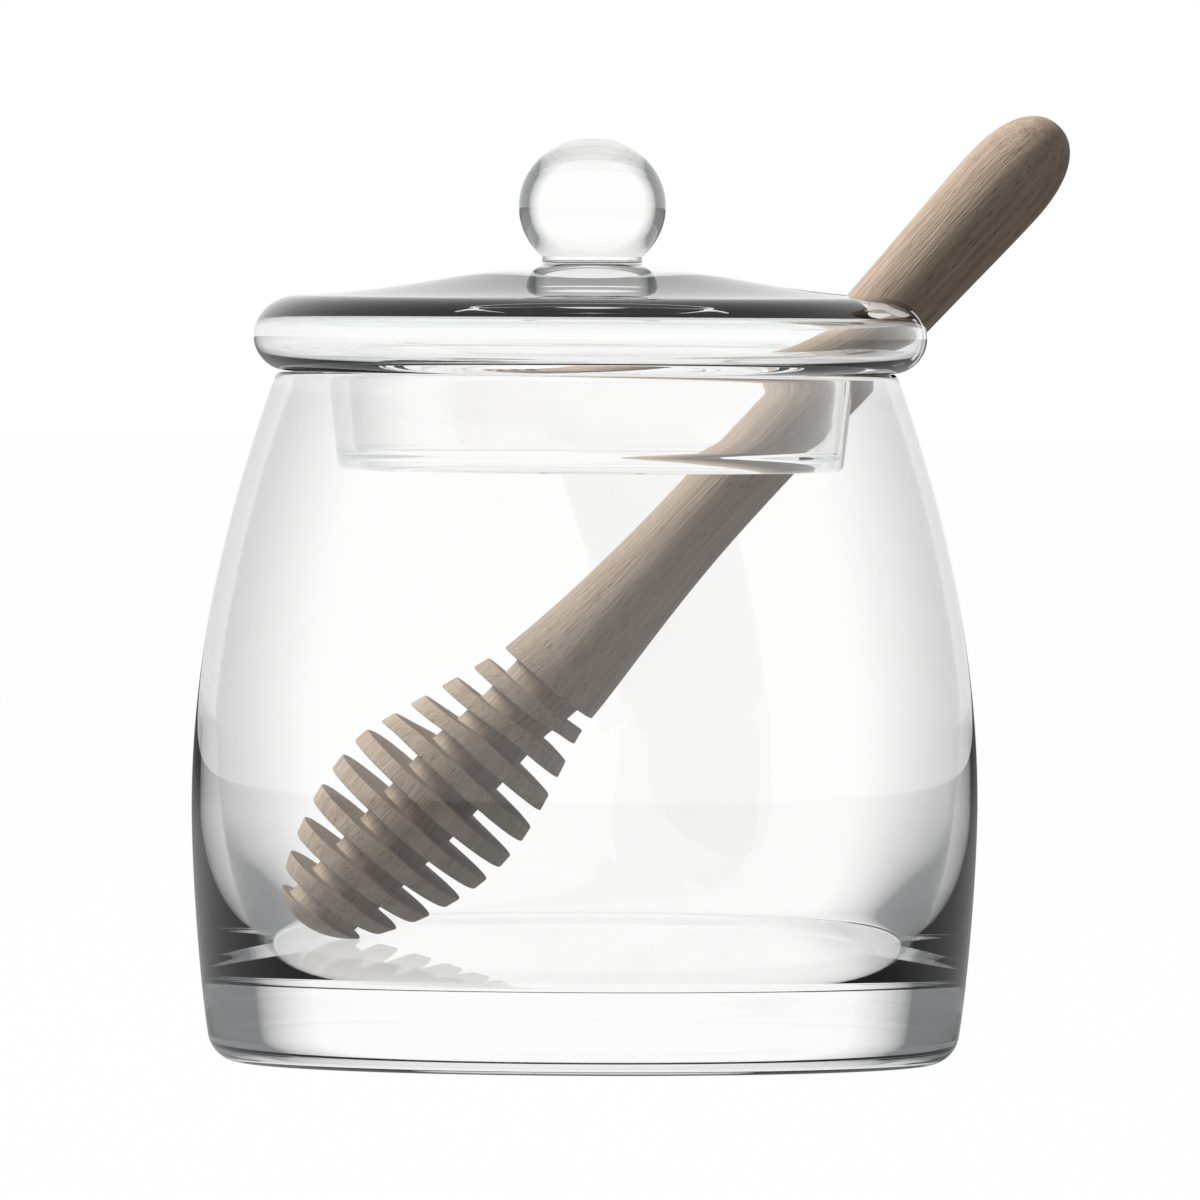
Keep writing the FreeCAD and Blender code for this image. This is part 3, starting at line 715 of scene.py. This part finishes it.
def glass_material(finishes):
    """Clear glass with painted shade where an upright wall is seen edge on; lamps shine through it.
    """
    material, tree = fresh_material("clear_glass")
    weight = node(tree, "ShaderNodeLayerWeight", (-1100, 200), Blend=0.5)
    facing = map_range(tree, (-900, 200), weight.outputs["Facing"],
                       (EDGE_SHADE_START, 1.0, 0.0, EDGE_SHADE_GAIN))
    strength = maths(tree, (-600, -200), "MULTIPLY", edge_shade_strength(tree), shaded_wall_share(tree))
    # Painted shade: the glass's base colour turns near black on upright walls seen edge on.
    edge = maths(tree, (-500, 100), "MULTIPLY", facing, strength, clamp=True)
    glass_tint_and_edge_shade = blend(tree, (-300, 100), "RGBA", edge, (*finishes.glass, 1), (*finishes.glass_edge_shade, 1))
    glass = node(tree, "ShaderNodeBsdfPrincipled", (-100, 100), Roughness=0.0, IOR=GLASS_BEND,
                 Transmission_Weight=1.0)
    tree.links.new(glass_tint_and_edge_shade, glass.inputs["Base Color"])
    clear = node(tree, "ShaderNodeBsdfTransparent", (-100, -300), Color=LAMP_SHARE)
    path = node(tree, "ShaderNodeLightPath", (-500, 500)).outputs
    lamp_light = maths(tree, (-300, 400), "MAXIMUM", path["Is Shadow Ray"], path["Is Diffuse Ray"])
    tired = maths(tree, (-300, 650), "GREATER_THAN", path["Ray Depth"], LAST_BEND)
    straight_on = maths(tree, (-100, 500), "MAXIMUM", lamp_light, tired)
    mixed_surface(tree, straight_on, glass, clear)
    return material


def drawn_out(tree, row, mapping, kind, scale, **values):
    """A texture in the dipper's own coordinates, stretched by scale."""
    stretch = node(tree, "ShaderNodeMapping", (-1200, row), Scale=scale)
    tree.links.new(mapping.outputs[0], stretch.inputs["Vector"])
    texture = node(tree, kind, (-1000, row), Scale=1.0, **values)
    tree.links.new(stretch.outputs[0], texture.inputs["Vector"])
    return texture


def wood_material(finishes, matrix):
    """Raw oak: long fibres, darker late wood and open pores along the dipper's axis."""
    material, tree = fresh_material("oak")
    coordinates = node(tree, "ShaderNodeTexCoord", (-1600, 0))
    back = matrix.inverted()
    mapping = node(tree, "ShaderNodeMapping", (-1400, 0), Location=back.translation,
                   Rotation=back.to_euler())
    tree.links.new(coordinates.outputs["Object"], mapping.inputs["Vector"])
    streaks = {}
    light = 0.0
    for index, (name, stretch, detail, share) in enumerate(FIBRES):
        row = 200 * index
        noise = drawn_out(tree, row, mapping, "ShaderNodeTexNoise", stretch,
                          Detail=detail, Roughness=NOISE_ROUGHNESS)
        streaks[name] = map_range(tree, (-800, row), noise.outputs["Fac"], (*FIBRE_SPAN, 0.0, 1.0))
        light = maths(tree, (-600, row), "MULTIPLY_ADD", streaks[name], share, light)
    tone = blend(tree, (-400, 100), "RGBA", light, (*finishes.wood_dark, 1),
                 (*finishes.wood_light, 1))
    pores = drawn_out(tree, -400, mapping, "ShaderNodeTexVoronoi", PORE_STRETCH)
    spots = map_range(tree, (-800, -400), pores.outputs["Distance"], (*PORE_EDGE, 1.0, 0.0))
    bands = map_range(tree, (-800, -600), streaks["growth"], PORE_BANDS)
    depth = maths(tree, (-600, -400), "MULTIPLY", spots, bands)
    dotted = blend(tree, (-200, 0), "RGBA", depth, tone, (*finishes.wood_pore, 1))
    bump = node(tree, "ShaderNodeBump", (-300, -300), Strength=RAISED_FIBRES[0],
                Distance=RAISED_FIBRES[1])
    tree.links.new(streaks["hair"], bump.inputs["Height"])
    surface = node(tree, "ShaderNodeBsdfPrincipled", (0, 0), Roughness=WOOD_ROUGHNESS)
    tree.links.new(dotted, surface.inputs["Base Color"])
    tree.links.new(bump.outputs[0], surface.inputs["Normal"])
    out = node(tree, "ShaderNodeOutputMaterial", (300, 0))
    tree.links.new(surface.outputs[0], out.inputs["Surface"])
    return material


def outer_reflection(tree, path):
    """1 for light that meets the eye after its first bounce, 0 for later ones."""
    return maths(tree, (-1100, 500), "LESS_THAN", path["Ray Depth"], FIRST_BOUNCE)


def floor_glow(tree):
    """White share of the floor: full to the eye and through glass, little in outer
    reflections, and none where its light falls on things."""
    path = node(tree, "ShaderNodeLightPath", (-1300, 300)).outputs
    level = blend(tree, (-900, 100), "FLOAT", outer_reflection(tree, path), 1.0, MIRROR_FLOOR)
    mirrored = maths(tree, (-700, 100), "MULTIPLY", path["Is Glossy Ray"], level)
    seen = maths(tree, (-500, 300), "MAXIMUM", path["Is Camera Ray"], mirrored)
    seen = maths(tree, (-300, 300), "MAXIMUM", seen, path["Is Transmission Ray"])
    return maths(tree, (-100, 300), "MULTIPLY", seen, GLOW_SHARE)


def floor_material(finishes):
    material, tree = fresh_material("studio_floor")
    matt = node(tree, "ShaderNodeBsdfDiffuse", (-300, 0), Color=(*finishes.floor, 1))
    glow = node(tree, "ShaderNodeEmission", (-300, -200), Strength=1.0)
    mixed_surface(tree, floor_glow(tree), matt, glow)
    return material


# ---- stage ----------------------------------------------------------------------
FLOOR_RADIUS = 6.0
FLOOR_GAP = 0.02 * MM        # keeps the floor's face apart from the pot's foot
CAMERA_DISTANCE = 3.19
CAMERA_HEIGHT = 0.124
AIM = (1.85 * MM, 0, 59.7 * MM)
FRAME_SPAN = 154.8 * MM
ROLL = math.radians(0.3)
SENSOR_WIDTH = 36
CLIP_END = 100
LAMP_AIM = (0, 0, 60 * MM)
# name, place, size, power
LAMPS = (("key_lamp", (-0.95, 0.12, 1.2), 0.5, 36), ("front_lamp", (0.06, -1.2, 1.6), 0.6, 5))


def area_lamp(name, place, size, power):
    """A round soft lamp that doesn't show in the glass."""
    data = bpy.data.lights.new(name, "AREA")
    data.shape = "DISK"
    data.size, data.energy = size, power
    lamp = linked(name, data)
    lamp.location = place
    lamp.rotation_euler = (Vector(LAMP_AIM) - Vector(place)).to_track_quat("-Z", "Y").to_euler()
    lamp.visible_glossy = lamp.visible_transmission = False


def build_floor(finishes):
    """A round floor just under the pot's foot."""
    bm = bmesh.new()
    bmesh.ops.create_circle(bm, cap_ends=True, segments=FLOOR_STEPS, radius=FLOOR_RADIUS)
    mesh = mesh_from(bm, "studio_floor")
    mesh.materials.append(floor_material(finishes))
    floor = linked("studio_floor", mesh)
    floor.location.z = POT_BOX[0].z - FLOOR_GAP


def build_world():
    """White behind things, dimmer overhead through glass, with dark flags at both sides in
    the glass's outer reflections."""
    world = bpy.data.worlds.new("studio")
    bpy.context.scene.world = world
    world.use_nodes = True
    tree = world.node_tree
    tree.nodes.clear()
    path = node(tree, "ShaderNodeLightPath", (-1300, 400)).outputs
    direction = node(tree, "ShaderNodeTexCoord", (-1300, 0))
    split = node(tree, "ShaderNodeSeparateXYZ", (-1100, 0))
    tree.links.new(direction.outputs["Generated"], split.inputs[0])
    through = map_range(tree, (-700, 0), split.outputs["Z"], OVERHEAD)
    aside = maths(tree, (-900, -500), "ABSOLUTE", split.outputs["X"])
    flagged = map_range(tree, (-700, -500), aside, (*FLAGS, MIRROR_LEVEL, MIRROR_SIDES))
    raised = map_range(tree, (-700, -300), split.outputs["Z"], (*MIRROR_RISE, 0.0, MIRROR_LEVEL))
    outer = maths(tree, (-500, -300), "MAXIMUM", flagged, raised)
    mirrored = blend(tree, (-300, -300), "FLOAT", outer_reflection(tree, path), through, outer)
    level = blend(tree, (-500, 200), "FLOAT", path["Is Glossy Ray"], FILL_LEVEL, mirrored)
    level = blend(tree, (-300, 200), "FLOAT", path["Is Transmission Ray"], level, through)
    level = blend(tree, (-100, 200), "FLOAT", path["Is Camera Ray"], level, 1.0)
    background = node(tree, "ShaderNodeBackground", (100, 0), Color=(1, 1, 1, 1))
    tree.links.new(level, background.inputs["Strength"])
    out = node(tree, "ShaderNodeOutputWorld", (300, 0))
    tree.links.new(background.outputs[0], out.inputs["Surface"])


def build_camera():
    """A long lens that looks slightly down at the middle of the pot and its lid."""
    data = bpy.data.cameras.new("camera")
    data.sensor_width = SENSOR_WIDTH
    data.clip_end = CLIP_END
    camera = linked("camera", data)
    place = Vector((AIM[0], -CAMERA_DISTANCE, CAMERA_HEIGHT))
    gaze = Vector(AIM) - place
    data.lens = data.sensor_width * gaze.length / FRAME_SPAN
    camera.location = place
    camera.rotation_euler = (gaze.to_track_quat("-Z", "Y").to_matrix().to_4x4()
                             @ Matrix.Rotation(ROLL, 4, "Z")).to_euler()
    bpy.context.scene.camera = camera


# ---- operators ------------------------------------------------------------------
def dress(piece, node_name):
    """The piece stands in for a solid of the frame: it hangs under the root body, and the solid is
    hidden.
    """
    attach(piece, "root")
    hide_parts(node_name)


def shared_glass(scene):
    return bpy.data.materials.get("clear_glass") or glass_material(scene.honey_finishes)


class HONEY_OT_pot(bpy.types.Operator):
    """Build the glass pot"""
    bl_idname = "honey.pot"
    bl_label = "Glass pot"

    def execute(self, context):
        scene = context.scene
        dress(build_pot(scene.honey_pot, shared_glass(scene)), "pot")
        return {"FINISHED"}


class HONEY_OT_lid(bpy.types.Operator):
    """Build the glass lid with its slot for the dipper"""
    bl_idname = "honey.lid"
    bl_label = "Glass lid"

    def execute(self, context):
        scene = context.scene
        dress(build_lid(scene.honey_pot, scene.honey_dipper, scene.honey_lid, shared_glass(scene)),
              "lid")
        return {"FINISHED"}


class HONEY_OT_dipper(bpy.types.Operator):
    """Build the oak dipper"""
    bl_idname = "honey.dipper"
    bl_label = "Oak dipper"

    def execute(self, context):
        scene = context.scene
        matrix = dipper_place(scene.honey_pot, scene.honey_dipper)[2]
        material = wood_material(scene.honey_finishes, matrix)
        dress(build_dipper(scene.honey_pot, scene.honey_dipper, material), "dipper")
        return {"FINISHED"}


class HONEY_OT_stage(bpy.types.Operator):
    """Build the floor, the light and the camera"""
    bl_idname = "honey.stage"
    bl_label = "Studio"

    def execute(self, context):
        build_floor(context.scene.honey_finishes)
        for lamp in LAMPS:
            area_lamp(*lamp)
        build_world()
        build_camera()
        context.scene.view_settings.view_transform = "Standard"
        return {"FINISHED"}


class HONEY_PT_panel(bpy.types.Panel):
    """Lists the pieces of the honey pot"""
    bl_idname = "HONEY_PT_panel"
    bl_label = "Honey pot"
    bl_space_type = "VIEW_3D"
    bl_region_type = "UI"
    bl_category = "Honey pot"

    def draw(self, context):
        for operator in OPERATORS:
            self.layout.operator(operator.bl_idname)
        for name in GROUPS:
            settings = getattr(context.scene, name)
            for field in settings.__annotations__:
                self.layout.prop(settings, field)


OPERATORS = (HONEY_OT_pot, HONEY_OT_lid, HONEY_OT_dipper, HONEY_OT_stage)
GROUPS = {"honey_pot": PotSizes, "honey_lid": LidSizes, "honey_dipper": DipperSizes,
          "honey_finishes": Finishes}


def register():
    for group in GROUPS.values():
        bpy.utils.register_class(group)
    for name, group in GROUPS.items():
        setattr(bpy.types.Scene, name, PointerProperty(type=group))
    for operator in OPERATORS:
        bpy.utils.register_class(operator)
    bpy.utils.register_class(HONEY_PT_panel)


def unregister():
    bpy.utils.unregister_class(HONEY_PT_panel)
    for operator in reversed(OPERATORS):
        bpy.utils.unregister_class(operator)
    for name, group in reversed(GROUPS.items()):
        delattr(bpy.types.Scene, name)
        bpy.utils.unregister_class(group)


def main():
    register()
    bpy.ops.honey.pot()
    bpy.ops.honey.lid()
    bpy.ops.honey.dipper()
    bpy.ops.honey.stage()


if __name__ == "__main__":
    main()
